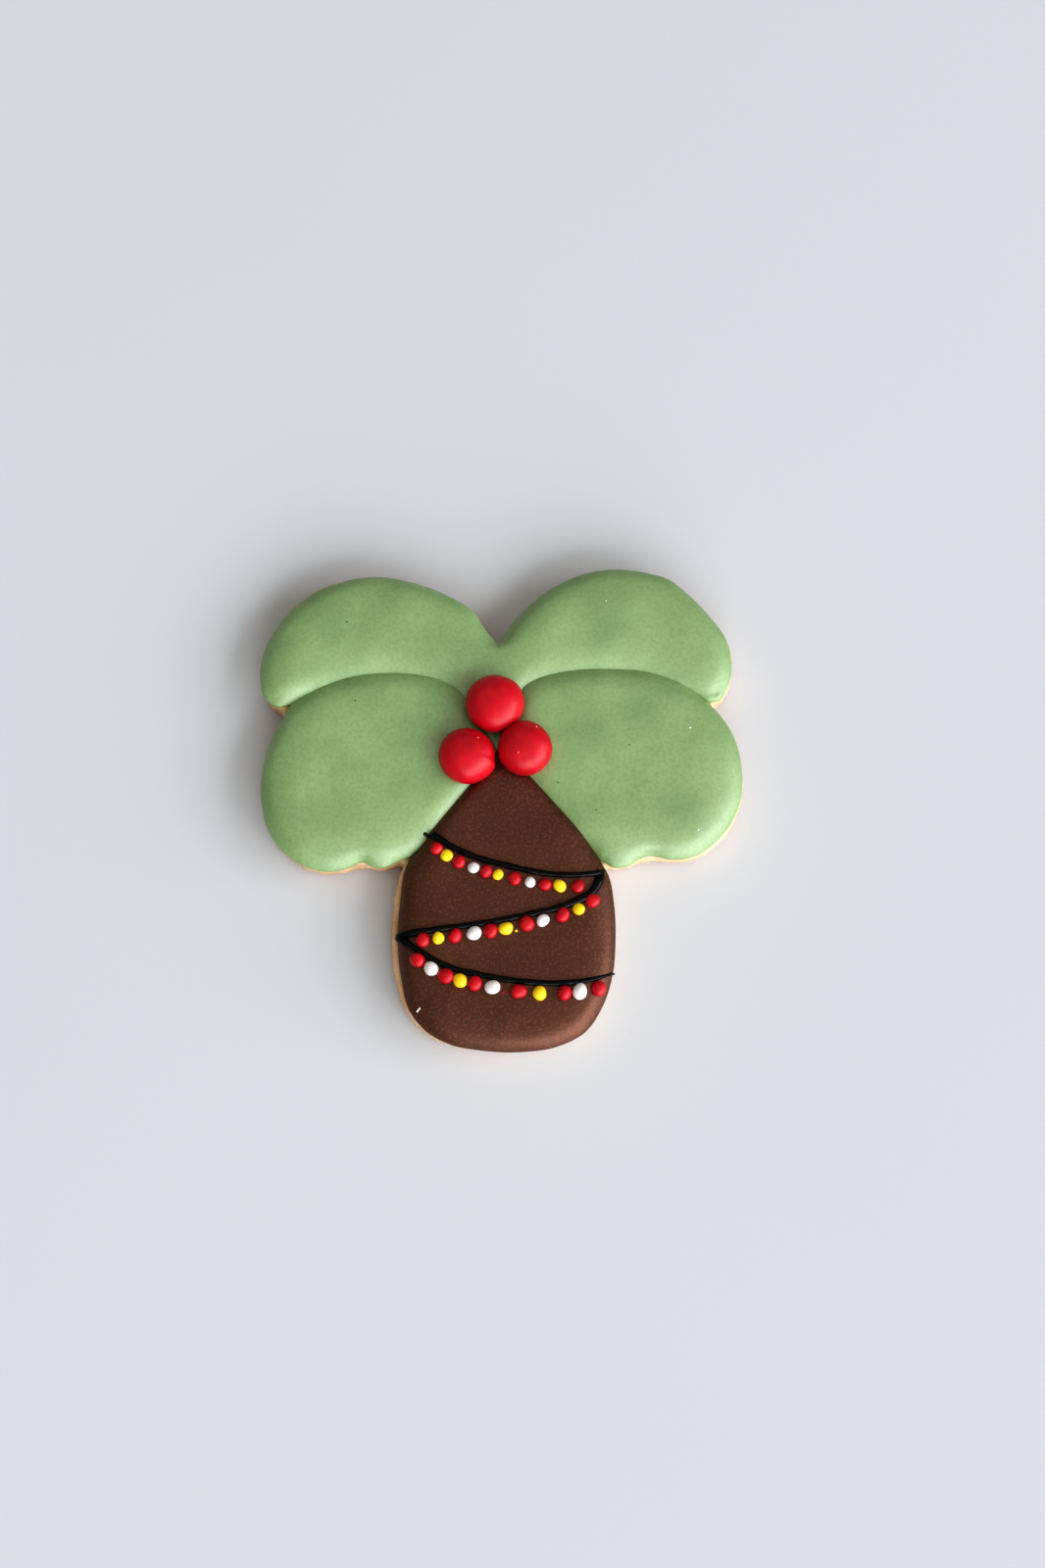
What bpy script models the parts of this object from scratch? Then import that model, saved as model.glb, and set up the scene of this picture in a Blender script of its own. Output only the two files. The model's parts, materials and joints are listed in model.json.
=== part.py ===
"""A palm-tree Christmas cookie: a rolled biscuit under four flooded areas of royal icing, with three sugar
berries where the areas meet and a piped garland of sugar pearls zigzagging down the trunk.

+Z points up out of the icing and +Y toward the crown of the palm. The origin is at the underside, in the
middle of the outline. Every size here is in millimetres and becomes metres where a mesh is made.
"""

import math

import bmesh
import bpy
import numpy as np
from mathutils import Vector
from mathutils.geometry import delaunay_2d_cdt

MM = 0.001
GAP = 0.3

# Biscuit
BISCUIT_THICKNESS = 6.0
BISCUIT_BULGE_HEIGHT = 2.6
UNDER_EDGE_WIDTH = 1.1
SIDE_LEAN = 0.1
TOP_EDGE_RADIUS = 0.7

# Icing
ICING_BASE = BISCUIT_THICKNESS + GAP
FROND_THICKNESS = 2.5
TRUNK_THICKNESS = 2.3
ICING_LIP = 0.7
ICING_UNDERCUT = 0.3
ICING_ROUNDING = 3.2

# Rings of mesh points inside the icing's edge: how far in, and how many points of the edge each point serves
ROUNDING_RINGS = ((0.4, 1), (1.1, 1), (2.1, 2), (ICING_ROUNDING, 2))
GRID_PITCH = 6.0

# Berries
BERRY_HEIGHT = 5.8
BERRY_WIDEST_HEIGHT = 2.3
BERRY_FOOT_SHARE = 0.84
BERRY_SIDES = 24
BERRY_CAP_DEGREES = 84
BERRIES = {
    "berry_top": ((-1.2, 17.6), 5.4),
    "berry_left": ((-6.3, 7.7), 5.1),
    "berry_right": ((4.3, 9.1), 5.0),
}

# Garland
GARLAND_RADIUS = 0.6
GARLAND_RISE = 0.1
PEARL_SINK = 0.3

# Where two or more areas of icing meet on the outline, and the point where all four meet
LEFT_TIP = (-39.1, 18.9)
RIGHT_TIP = (38.2, 19.3)
CROWN = (-0.7, 30.7)
HEART = (-0.8, 9.5)
LEFT_FOOT = (-16.5, -10.1)
RIGHT_FOOT = (17.9, -10.7)

# The outline of the icing, clockwise, each stretch between two of the points above
UPPER_LEFT_RIM = (
    (-41.2, 18.2), (-43.8, 19.7), (-45.0, 23.6), (-44.3, 29.5), (-41.2, 35.3), (-36.6, 39.9),
    (-30.9, 42.7), (-24.2, 44.0), (-17.4, 43.0), (-10.9, 40.6), (-5.5, 37.2), (-2.4, 32.7),
)
UPPER_RIGHT_RIM = (
    (1.3, 33.9), (5.1, 38.4), (10.3, 42.3), (16.2, 44.8), (21.8, 45.5), (27.6, 44.7), (31.2, 43.6),
    (35.0, 40.5), (39.0, 36.0), (42.0, 31.4), (42.9, 26.7), (41.8, 21.8), (40.0, 19.4),
)
LOWER_RIGHT_RIM = (
    (40.3, 17.0), (42.8, 12.9), (44.2, 7.1), (44.1, 1.6), (42.2, -3.6), (38.9, -7.6),
    (34.8, -10.2), (30.8, -10.7), (26.5, -10.1), (25.0, -10.7), (22.9, -12.0), (20.4, -12.2),
)
TRUNK_RIM = (
    (19.4, -13.2), (20.5, -18.9), (20.7, -25.4), (20.1, -31.9), (18.1, -37.9), (15.1, -42.2),
    (10.4, -44.7), (3.3, -45.8), (-3.7, -45.5), (-9.2, -44.4), (-13.6, -41.9), (-16.5, -38.2),
    (-17.9, -32.9), (-18.7, -25.9), (-18.3, -17.9), (-17.5, -12.3),
)
LOWER_LEFT_RIM = (
    (-18.8, -11.1), (-21.4, -12.3), (-23.5, -12.0), (-25.4, -11.2), (-27.1, -12.0), (-30.2, -12.9),
    (-34.7, -12.4), (-39.1, -9.9), (-42.6, -5.3), (-44.1, 0.6), (-44.0, 6.6), (-42.5, 12.3), (-40.4, 16.5),
)

# The valleys between the areas, the creases from a tip and the seams from a foot to the heart
LEFT_CREASE = (
    (-34.0, 21.5), (-28.2, 23.7), (-22.2, 24.5), (-15.5, 24.2), (-10.6, 22.8), (-8.0, 21.2), (-5.0, 17.0),
)
RIGHT_CREASE = (
    (33.0, 22.6), (27.0, 24.7), (19.8, 25.3), (12.4, 24.9), (6.6, 23.4), (4.4, 22.1), (1.9, 17.0),
)
LEFT_SEAM = ((-15.0, -8.8), (-12.3, -5.2), (-8.7, -0.7), (-5.0, 3.9))
RIGHT_SEAM = ((16.2, -8.3), (13.2, -4.5), (8.8, 0.6), (4.8, 5.0))

# How far the bare biscuit reaches outside the icing, at even steps along each stretch of the outline.
# It is a little below zero where the icing ran over the edge.
BARE_EDGES = {
    "upper_left": (0.6, 0.1, 0.7, 1.1, 0.7, 0.4, 0.4, 0.4),
    "upper_right": (0.4, 0.4, 0.4, 0.4, 0.5, 0.9, 0.8, 0.5),
    "lower_right": (0.5, 0.6, 0.9, 0.9, 0.8, 0.9, 0.6, 0.2, -0.1, -0.1, 0.2),
    "trunk": (0.4, 0.1, 0.1, 0.1, 0.1, -0.1, -0.1, 0.2, 1.2, 1.4, 1.3, 1.3),
    "lower_left": (0.1, -0.1, -0.1, 0.1, 0.1, 0.1, 0.2, 0.3, 0.4),
}

# Each strand of the garland from end to end: its piped line, the x of each pearl under it with R for red,
# Y for yellow and W for white, how far below the line the pearls lie, and their radius
STRANDS = (
    {
        "line": (
            (-11.7, -7.1), (-9.8, -8.4), (-5.2, -10.6), (0.7, -12.3), (7.7, -13.8), (13.8, -14.1),
            (18.2, -13.6),
        ),
        "pearls": (-11.7, -9.8, -7.6, -5.0, -2.8, -0.6, 2.4, 5.1, 7.9, 10.5, 13.8),
        "colours": "RYRWRYRWRYR",
        "drop": 2.15,
        "radius": 1.17,
    },
    {
        "line": (
            (18.2, -13.6), (16.4, -17.2), (12.1, -19.5), (5.4, -21.3), (-2.0, -22.8), (-9.0, -23.8),
            (-15.3, -24.6), (-17.2, -25.4),
        ),
        "pearls": (16.5, 13.9, 11.0, 7.5, 4.6, 0.9, -1.9, -4.8, -8.2, -11.2, -13.9),
        "colours": "RYRWRYRWRYR",
        "drop": 1.65,
        "radius": 1.3,
    },
    {
        "line": (
            (-17.2, -25.4), (-14.7, -28.0), (-9.8, -30.7), (-2.8, -32.5), (4.2, -33.6), (11.2, -33.8),
            (17.3, -32.8), (19.1, -32.2),
        ),
        "pearls": (-14.9, -12.3, -9.8, -7.3, -4.6, -1.5, 3.2, 6.9, 11.3, 14.0, 17.4),
        "colours": "RWRYRWRYRWR",
        "drop": 1.85,
        "radius": 1.4,
    },
)

# How close together the points of an outline and of a piped line are, how much of a moved outline's distance
# a point keeps at a corner, and the angle from which an edge is shaded sharp
OUTLINE_PITCH = 1.8
STRAND_PITCH = 2.4
CORNER_SHARE = 0.93
SHARP_DEGREES = 50

# Colours as a screen shows them, from 0 to 255, with roughness
FINISHES = {
    "biscuit": ((226, 184, 128), 0.85),
    "green_icing": ((143, 178, 125), 0.55),
    "brown_icing": ((86, 50, 38), 0.5),
    "black_icing": ((14, 12, 12), 0.4),
    "red_sugar": ((205, 20, 34), 0.35),
    "yellow_sugar": ((240, 208, 40), 0.35),
    "white_sugar": ((236, 233, 228), 0.4),
}
PEARL_FINISHES = {"R": "red_sugar", "Y": "yellow_sugar", "W": "white_sugar"}


def clear_scene():
    for existing in list(bpy.data.objects):
        bpy.data.objects.remove(existing, do_unlink=True)


def linear(channel):
    share = channel / 255
    return share / 12.92 if share <= 0.04045 else ((share + 0.055) / 1.055) ** 2.4


def finish(name):
    """The named material, made the first time it is asked for."""
    if name in bpy.data.materials:
        return bpy.data.materials[name]
    colour, roughness = FINISHES[name]
    material = bpy.data.materials.new(name)
    material.use_nodes = True
    shader = material.node_tree.nodes["Principled BSDF"]
    shader.inputs["Base Color"].default_value = (*map(linear, colour), 1.0)
    shader.inputs["Roughness"].default_value = roughness
    shader.inputs["Metallic"].default_value = 0.0
    material.diffuse_color = shader.inputs["Base Color"].default_value
    return material


def evenly(curve, pitch):
    """Points at an even spacing close to pitch along a polyline, both ends included."""
    places = np.concatenate([[0], np.cumsum(np.linalg.norm(np.diff(curve, axis=0), axis=1))])
    count = max(2, round(places[-1] / pitch) + 1)
    wanted = np.linspace(0, places[-1], count)
    return np.stack([np.interp(wanted, places, axis) for axis in curve.T], axis=1)


def spread(values, count):
    """The values, at even steps, filled in to count of them."""
    return np.interp(np.linspace(0, len(values) - 1, count), range(len(values)), values)


def smooth_line(anchors, pitch):
    """Evenly spaced points on a smooth curve through the anchors, with the slopes of a parabola at each."""
    anchors = np.asarray(anchors, float)
    spans = np.linalg.norm(np.diff(anchors, axis=0), axis=1)
    places = np.concatenate([[0], np.cumsum(spans)])
    slopes = np.gradient(anchors, places, axis=0)
    fine = np.arange(0, places[-1], pitch / 8)
    index = np.clip(np.searchsorted(places, fine, side="right") - 1, 0, len(spans) - 1)
    span = spans[index][:, None]
    t = (fine - places[index])[:, None] / span
    curve = (2 * t**3 - 3 * t**2 + 1) * anchors[index] + (3 * t**2 - 2 * t**3) * anchors[index + 1]
    curve += span * ((t**3 - 2 * t**2 + t) * slopes[index] + (t**3 - t**2) * slopes[index + 1])
    return evenly(np.vstack([curve, anchors[-1:]]), pitch)


def stretch(start, anchors, end):
    return smooth_line((start, *anchors, end), OUTLINE_PITCH)


def closed_loop(*stretches):
    """One closed outline, each stretch starting where the last one ends."""
    return np.concatenate([points[:-1] for points in stretches])


def outward(loop):
    """Unit normals out of a clockwise loop."""
    along = np.roll(loop, -1, axis=0) - np.roll(loop, 1, axis=0)
    normals = np.stack([-along[:, 1], along[:, 0]], axis=1)
    return normals / np.linalg.norm(normals, axis=1, keepdims=True)


def distance_to(points, loop):
    """The distance from each point to the nearest side of the loop."""
    points = np.asarray(points, float)[:, None]
    start, along = loop[None], (np.roll(loop, -1, axis=0) - loop)[None]
    share = np.clip(((points - start) * along).sum(2) / (along**2).sum(2), 0, 1)
    return np.linalg.norm(points - start - share[..., None] * along, axis=2).min(1)


def inside(points, loop):
    """Whether each point is inside the loop, by counting the sides that a ray along +X crosses."""
    x, y = np.asarray(points, float)[:, None].transpose(2, 0, 1)
    (x0, y0), (x1, y1) = loop.T[:, None], np.roll(loop, -1, axis=0).T[:, None]
    spans_ray = (y0 > y) != (y1 > y)
    rise = np.where(y1 == y0, 1.0, y1 - y0)
    return (spans_ray & (x < x0 + (y - y0) * (x1 - x0) / rise)).sum(1) % 2 == 1


def moved(loop, distance):
    """The loop moved outward, without the points that a corner pushes closer than the distance."""
    result = loop + outward(loop) * np.reshape(distance, (-1, 1))
    return result[distance_to(result, loop) >= CORNER_SHARE * np.abs(distance)]


def outline_stretches():
    return {
        "upper_left": stretch(LEFT_TIP, UPPER_LEFT_RIM, CROWN),
        "upper_right": stretch(CROWN, UPPER_RIGHT_RIM, RIGHT_TIP),
        "lower_right": stretch(RIGHT_TIP, LOWER_RIGHT_RIM, RIGHT_FOOT),
        "trunk": stretch(RIGHT_FOOT, TRUNK_RIM, LEFT_FOOT),
        "lower_left": stretch(LEFT_FOOT, LOWER_LEFT_RIM, LEFT_TIP),
    }


def icing_loops():
    """The clockwise outline of each area of icing."""
    rim = outline_stretches()
    left_crease = stretch(LEFT_TIP, LEFT_CREASE, HEART)
    right_crease = stretch(RIGHT_TIP, RIGHT_CREASE, HEART)
    left_seam = stretch(LEFT_FOOT, LEFT_SEAM, HEART)
    right_seam = stretch(RIGHT_FOOT, RIGHT_SEAM, HEART)
    return {
        "icing_upper_fronds": closed_loop(
            rim["upper_left"], rim["upper_right"], right_crease, left_crease[::-1]
        ),
        "icing_lower_right": closed_loop(rim["lower_right"], right_seam, right_crease[::-1]),
        "icing_trunk": closed_loop(rim["trunk"], left_seam, right_seam[::-1]),
        "icing_lower_left": closed_loop(rim["lower_left"], left_crease, left_seam[::-1]),
    }


def biscuit_loop():
    """The icing's outline with the bare edge added, its corners rounded as baking rounds them."""
    rim = outline_stretches()
    margins = [spread(BARE_EDGES[name], len(points)) for name, points in rim.items()]
    loop = moved(closed_loop(*rim.values()), closed_loop(*margins))
    for _ in range(2):
        loop = (np.roll(loop, 1, axis=0) + 2 * loop + np.roll(loop, -1, axis=0)) / 4
    return evenly(np.vstack([loop, loop[:1]]), OUTLINE_PITCH)[:-1]


def mesh_object(name, points, faces, material):
    """A closed object from points in millimetres, with its faces turned outward."""
    mesh = bpy.data.meshes.new(name)
    mesh.from_pydata([Vector(point) * MM for point in points], [], faces)
    model = bmesh.new()
    model.from_mesh(mesh)
    bmesh.ops.recalc_face_normals(model, faces=model.faces)
    model.to_mesh(mesh)
    model.free()
    mesh.materials.append(finish(material))
    mesh.shade_smooth()
    mesh.set_sharp_from_angle(angle=math.radians(SHARP_DEGREES))
    piece = bpy.data.objects.new(name, mesh)
    bpy.context.scene.collection.objects.link(piece)
    return piece


def stacked_rings(rings):
    """Points and faces of a solid through rings of equally many points, flat at both ends."""
    count = len(rings[0])
    points = np.concatenate(rings)
    faces = [list(range(count)), list(range(len(points) - count, len(points)))]
    for below in range(0, len(points) - count, count):
        for here in range(count):
            after = (here + 1) % count
            faces.append([below + here, below + after, below + count + after, below + count + here])
    return points, faces


def level(loop, z):
    return np.column_stack([loop, np.broadcast_to(z, len(loop))])


def arc(start_degrees, end_degrees, steps):
    """The cosine and sine at even steps from one angle to another."""
    angles = np.radians(np.linspace(start_degrees, end_degrees, steps))
    return list(zip(np.cos(angles), np.sin(angles)))


def make_biscuit():
    """Sides that bulge a little, with round edges above and below."""
    loop = biscuit_loop()
    normals = outward(loop)
    shoulder = BISCUIT_THICKNESS - TOP_EDGE_RADIUS
    profile = [
        (UNDER_EDGE_WIDTH * (1 - out), BISCUIT_BULGE_HEIGHT * (1 - down))
        for out, down in arc(90, 0, 4)
    ]
    profile += [
        (SIDE_LEAN + TOP_EDGE_RADIUS * (1 - out), shoulder + TOP_EDGE_RADIUS * up)
        for out, up in arc(0, 90, 4)
    ]
    rings = [level(loop - normals * inset, z) for inset, z in profile]
    mesh_object("biscuit", *stacked_rings(rings), "biscuit")


def icing_height(distance, thickness):
    """The icing's top above its base: a rounded edge that levels off inside ICING_ROUNDING."""
    short = 1 - np.clip(distance / ICING_ROUNDING, 0, 1)
    return ICING_LIP + (thickness - ICING_LIP) * np.sqrt(1 - short**2)


def interior_points(loop):
    """Rings inside the loop where the icing rounds off, and a wide grid over its level middle."""
    rings = [moved(loop, -distance)[::every] for distance, every in ROUNDING_RINGS]
    low, high = loop.min(0), loop.max(0)
    grid = np.stack(np.meshgrid(*(np.arange(a, b, GRID_PITCH) for a, b in zip(low, high))), axis=2)
    grid[1::2, :, 0] += GRID_PITCH / 2
    grid = grid.reshape(-1, 2)
    middle = grid[inside(grid, loop) & (distance_to(grid, loop) > ICING_ROUNDING + GRID_PITCH / 3)]
    return np.concatenate([*rings, middle])


def make_icing(name, loop, thickness, material):
    """One flooded area: a flat base, a tucked-under lip and a rounded, level top."""
    loop = moved(loop, -GAP / 2)
    count = len(loop)
    flat = np.concatenate([loop, interior_points(loop)])
    sides = [(here, (here + 1) % count) for here in range(count)]
    corners, _, triangles, *_ = delaunay_2d_cdt([Vector(point) for point in flat], sides, [], 1, 1e-5)
    corners = np.array([tuple(corner) for corner in corners])
    top = level(corners, ICING_BASE + icing_height(distance_to(corners, loop), thickness))
    base = level(loop - outward(loop) * ICING_UNDERCUT, ICING_BASE)
    faces = [[count + corner for corner in triangle] for triangle in triangles]
    faces += [[here, after, count + after, count + here] for here, after in sides]
    faces.append(list(range(count)))
    return mesh_object(name, np.concatenate([base, top]), faces, material)


def make_berries(seat):
    """Three domes narrowed at the foot, each pressed flat where it would come too near another."""
    below = [
        (BERRY_FOOT_SHARE + (1 - BERRY_FOOT_SHARE) * out, BERRY_WIDEST_HEIGHT * (1 + up))
        for out, up in arc(-90, 0, 4)
    ]
    above = [
        (out, BERRY_WIDEST_HEIGHT + (BERRY_HEIGHT - BERRY_WIDEST_HEIGHT) * up)
        for out, up in arc(0, BERRY_CAP_DEGREES, 6)
    ]
    circle = np.array(arc(0, 360, BERRY_SIDES + 1)[:-1])
    for name, (centre, radius) in BERRIES.items():
        rings = [level(centre + circle * radius * out, seat + up) for out, up in below + above[1:]]
        berry = mesh_object(name, *stacked_rings(rings), "red_sugar")
        for other, (other_centre, other_radius) in BERRIES.items():
            if other != name:
                press_flat(berry, centre, radius, other_centre, other_radius)


def press_flat(berry, centre, radius, other_centre, other_radius):
    toward = np.subtract(other_centre, centre)
    reach = np.linalg.norm(toward)
    short = max(0, GAP - (reach - radius - other_radius))
    if short == 0:
        return
    toward = toward / reach
    place = Vector((*(centre + toward * (radius - short / 2)), 0)) * MM
    model = bmesh.new()
    model.from_mesh(berry.data)
    everything = [*model.verts, *model.edges, *model.faces]
    bmesh.ops.bisect_plane(model, geom=everything, plane_co=place, plane_no=(*toward, 0), clear_outer=True)
    bmesh.ops.holes_fill(model, edges=[edge for edge in model.edges if edge.is_boundary])
    model.to_mesh(berry.data)
    model.free()


def baked_mesh(piece):
    """The piece's mesh as its modifiers or its curve's bevel leave it."""
    graph = bpy.context.evaluated_depsgraph_get()
    return bpy.data.meshes.new_from_object(piece.evaluated_get(graph), depsgraph=graph)


def piped_line(name, path):
    """A round line of icing along a path of (x, y, z)."""
    curve = bpy.data.curves.new(name, "CURVE")
    curve.dimensions = "3D"
    curve.bevel_depth = GARLAND_RADIUS * MM
    curve.bevel_resolution = 1
    curve.use_fill_caps = True
    spline = curve.splines.new("POLY")
    spline.points.add(len(path) - 1)
    for point, place in zip(spline.points, path):
        point.co = (*(place * MM), 1)
    guide = bpy.data.objects.new(name, curve)
    bpy.context.scene.collection.objects.link(guide)
    mesh = baked_mesh(guide)
    bpy.data.objects.remove(guide, do_unlink=True)
    mesh.materials.append(finish("black_icing"))
    return bpy.data.objects.new(name, mesh)


def pearl(name, place, radius, material):
    mesh = bpy.data.meshes.new(name)
    model = bmesh.new()
    bmesh.ops.create_icosphere(model, subdivisions=2, radius=radius * MM)
    model.to_mesh(mesh)
    model.free()
    mesh.materials.append(finish(material))
    piece = bpy.data.objects.new(name, mesh)
    piece.location = Vector(place) * MM
    return piece


def garland_pieces(loop):
    """The three piped strands and their pearls, all sitting on the trunk's icing."""

    def surface(points):
        return ICING_BASE + icing_height(distance_to(points, loop), TRUNK_THICKNESS)

    pieces = []
    for row, strand in enumerate(STRANDS):
        line = smooth_line(strand["line"], STRAND_PITCH)
        path = np.column_stack([line, surface(line) + GARLAND_RISE])
        pieces.append(piped_line(f"strand_{row}", path))
        left_to_right = line[np.argsort(line[:, 0])]
        along = strand["pearls"]
        below = np.interp(along, left_to_right[:, 0], left_to_right[:, 1]) - strand["drop"]
        heights = surface(np.column_stack([along, below])) + strand["radius"] * (1 - 2 * PEARL_SINK)
        for number, (place, kind) in enumerate(zip(zip(along, below, heights), strand["colours"])):
            pieces.append(pearl(f"pearl_{row}_{number}", place, strand["radius"], PEARL_FINISHES[kind]))
    return pieces


def fuse(carrier, pieces):
    """Joins the pieces to what they lie on in one union, then removes them."""
    group = bpy.data.collections.new("toppings")
    bpy.context.scene.collection.children.link(group)
    for piece in pieces:
        group.objects.link(piece)
    union = carrier.modifiers.new("toppings", "BOOLEAN")
    union.operation = "UNION"
    union.operand_type = "COLLECTION"
    union.collection = group
    union.solver = "EXACT"
    union.material_mode = "TRANSFER"
    mesh = baked_mesh(carrier)
    carrier.modifiers.clear()
    carrier.data = mesh
    for piece in pieces:
        bpy.data.objects.remove(piece, do_unlink=True)
    bpy.data.collections.remove(group)


def main():
    clear_scene()
    loops = icing_loops()
    make_biscuit()
    for name in ("icing_upper_fronds", "icing_lower_left", "icing_lower_right"):
        make_icing(name, loops[name], FROND_THICKNESS, "green_icing")
    trunk = make_icing("icing_trunk", loops["icing_trunk"], TRUNK_THICKNESS, "brown_icing")
    fuse(trunk, garland_pieces(loops["icing_trunk"]))
    make_berries(ICING_BASE + FROND_THICKNESS + GAP)


main()
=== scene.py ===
"""The looks of the palm-tree Christmas cookie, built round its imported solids.

Every size here is in millimetres in the frame's own axes: +Z up out of the icing, +Y toward the crown of
the palm, and the origin at the underside. Sizes become metres where a mesh, a light or a texture is made.
Every colour is a screen's red, green and blue, from 0 to 255.
"""

import json
import math

import bmesh
import bpy
import numpy as np
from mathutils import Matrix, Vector
from mathutils.bvhtree import BVHTree
from mathutils.geometry import delaunay_2d_cdt

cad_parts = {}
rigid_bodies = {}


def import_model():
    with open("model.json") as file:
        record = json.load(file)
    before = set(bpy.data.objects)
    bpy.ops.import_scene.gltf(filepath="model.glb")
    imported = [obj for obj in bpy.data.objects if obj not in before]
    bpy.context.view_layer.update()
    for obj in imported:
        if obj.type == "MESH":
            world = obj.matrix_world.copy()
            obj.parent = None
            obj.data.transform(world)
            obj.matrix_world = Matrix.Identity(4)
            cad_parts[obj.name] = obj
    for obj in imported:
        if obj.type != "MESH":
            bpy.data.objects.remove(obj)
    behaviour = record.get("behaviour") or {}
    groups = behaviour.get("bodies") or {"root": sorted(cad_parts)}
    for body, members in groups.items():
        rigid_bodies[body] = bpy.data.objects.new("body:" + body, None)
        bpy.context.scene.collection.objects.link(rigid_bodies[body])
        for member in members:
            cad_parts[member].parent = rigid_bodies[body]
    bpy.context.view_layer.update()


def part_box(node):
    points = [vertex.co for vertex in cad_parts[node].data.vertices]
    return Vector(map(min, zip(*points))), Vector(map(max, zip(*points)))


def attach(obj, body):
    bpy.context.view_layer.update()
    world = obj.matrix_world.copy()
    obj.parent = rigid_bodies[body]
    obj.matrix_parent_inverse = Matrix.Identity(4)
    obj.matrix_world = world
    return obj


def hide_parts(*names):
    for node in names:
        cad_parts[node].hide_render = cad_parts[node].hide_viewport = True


MM = 0.001

# Camera
CAMERA_PLACE = (3.85, -99.83, 392.57)
CAMERA_TILT_DEGREES = 15
CAMERA_LENS = 50
CAMERA_SENSOR = 36

# Light: two wide windows, each with its name, its direction in degrees round from +X and its power in
# watts, and a sky that grows stronger with height
KEYS = (("key_right", -17, 154), ("key_front", -68, 154))
KEY_HEIGHT_DEGREES = 28
KEY_DISTANCE = 4800
KEY_WIDTH = 4600
KEY_HEIGHT = 3200
KEY_COLOUR = (246, 249, 255)
SKY_COLOUR = (255, 252, 246)
SKY_AT_HORIZON = 0.06
SKY_OVERHEAD = 0.46
FLOOR_SIZE = 9000

# Colours: a pair is mottled from one to the other, and a sheen is the tint of the reflected light
WHITE = (255, 255, 255)
GREEN_ICING = ((134, 166, 102), (144, 175, 111))
# The darker green of uneven patches, and of the painted shade at the left tip and the left foot
GREEN_MOTTLE_AND_SHADE = (112, 152, 92)
GREEN_GRAIN = (88, 128, 70)
GREEN_SPECKLE = (96, 136, 80)
BROWN_ICING = ((48, 20, 10), (56, 26, 15))
BROWN_GRAIN = (124, 76, 56)
BROWN_SHEEN = (255, 196, 170)
BLACK_ICING = ((4, 4, 4), (10, 9, 9))
DOUGH = ((240, 214, 182), (232, 198, 156))
# The browned dough near the baking sheet, also used for the painted shade on the biscuit's left side
BROWNED_AND_SHADED_DOUGH = (196, 138, 78)
DOUGH_CRUMB = (168, 116, 66)
BERRY_RED = ((190, 0, 32), (206, 0, 36))
BERRY_SHEEN = (255, 232, 228)
BERRY_FLECK = (255, 168, 166)
PEARL_RED = ((186, 2, 28), (206, 4, 34))
PEARL_YELLOW = ((248, 212, 26), (255, 226, 44))
PEARL_WHITE = ((226, 222, 218), (240, 238, 236))
# The dark green painted in small pits of the icing, as the shade inside them
PIT_SHADE_GREEN = (70, 92, 52)
FLECK_GRAIN = (128, 110, 90)
FLOOR = ((208, 210, 213), (211, 213, 216))

# How strongly each surface reflects, and how far red, green and blue light soak into the sugars
ICING_IOR = 1.8
SUGAR_IOR = 1.6
BERRY_IOR = 1.66
RED_SOAK = (1.0, 0.2, 0.15)
YELLOW_SOAK = (1.0, 0.8, 0.2)
WHITE_SOAK = (1.0, 1.0, 1.0)

# Where two or more areas of icing meet on the outline, and the point where all four meet
LEFT_TIP = (-39.1, 18.9)
RIGHT_TIP = (38.2, 19.3)
CROWN = (-0.7, 30.7)
HEART = (-0.8, 9.5)
LEFT_FOOT = (-16.5, -10.1)
RIGHT_FOOT = (17.9, -10.7)

# The outline of the icing, clockwise, each stretch between two of the points above
UPPER_LEFT_RIM = (
    (-41.2, 18.2), (-43.8, 19.7), (-45.0, 23.6), (-44.3, 29.5), (-41.2, 35.3), (-36.6, 39.9),
    (-30.9, 42.7), (-24.2, 44.0), (-17.4, 43.0), (-10.9, 40.6), (-5.5, 37.2), (-2.4, 32.7),
)
UPPER_RIGHT_RIM = (
    (1.3, 33.9), (5.1, 38.4), (10.3, 42.3), (16.2, 44.8), (21.8, 45.5), (27.6, 44.7), (31.2, 43.6),
    (35.0, 40.5), (39.0, 36.0), (42.0, 31.4), (42.9, 26.7), (41.8, 21.8), (40.0, 19.4),
)
LOWER_RIGHT_RIM = (
    (40.3, 17.0), (42.8, 12.9), (44.2, 7.1), (44.1, 1.6), (42.2, -3.6), (38.9, -7.6),
    (34.8, -10.2), (30.8, -10.7), (26.5, -10.1), (25.0, -10.7), (22.9, -12.0), (20.4, -12.2),
)
TRUNK_RIM = (
    (19.4, -13.2), (20.5, -18.9), (20.7, -25.4), (20.1, -31.9), (18.1, -37.9), (15.1, -42.2),
    (10.4, -44.7), (3.3, -45.8), (-3.7, -45.5), (-9.2, -44.4), (-13.6, -41.9), (-16.5, -38.2),
    (-17.9, -32.9), (-18.7, -25.9), (-18.3, -17.9), (-17.5, -12.3),
)
LOWER_LEFT_RIM = (
    (-18.8, -11.1), (-21.4, -12.3), (-23.5, -12.0), (-25.4, -11.2), (-27.1, -12.0), (-30.2, -12.9),
    (-34.7, -12.4), (-39.1, -9.9), (-42.6, -5.3), (-44.1, 0.6), (-44.0, 6.6), (-42.5, 12.3), (-40.4, 16.5),
)

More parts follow.
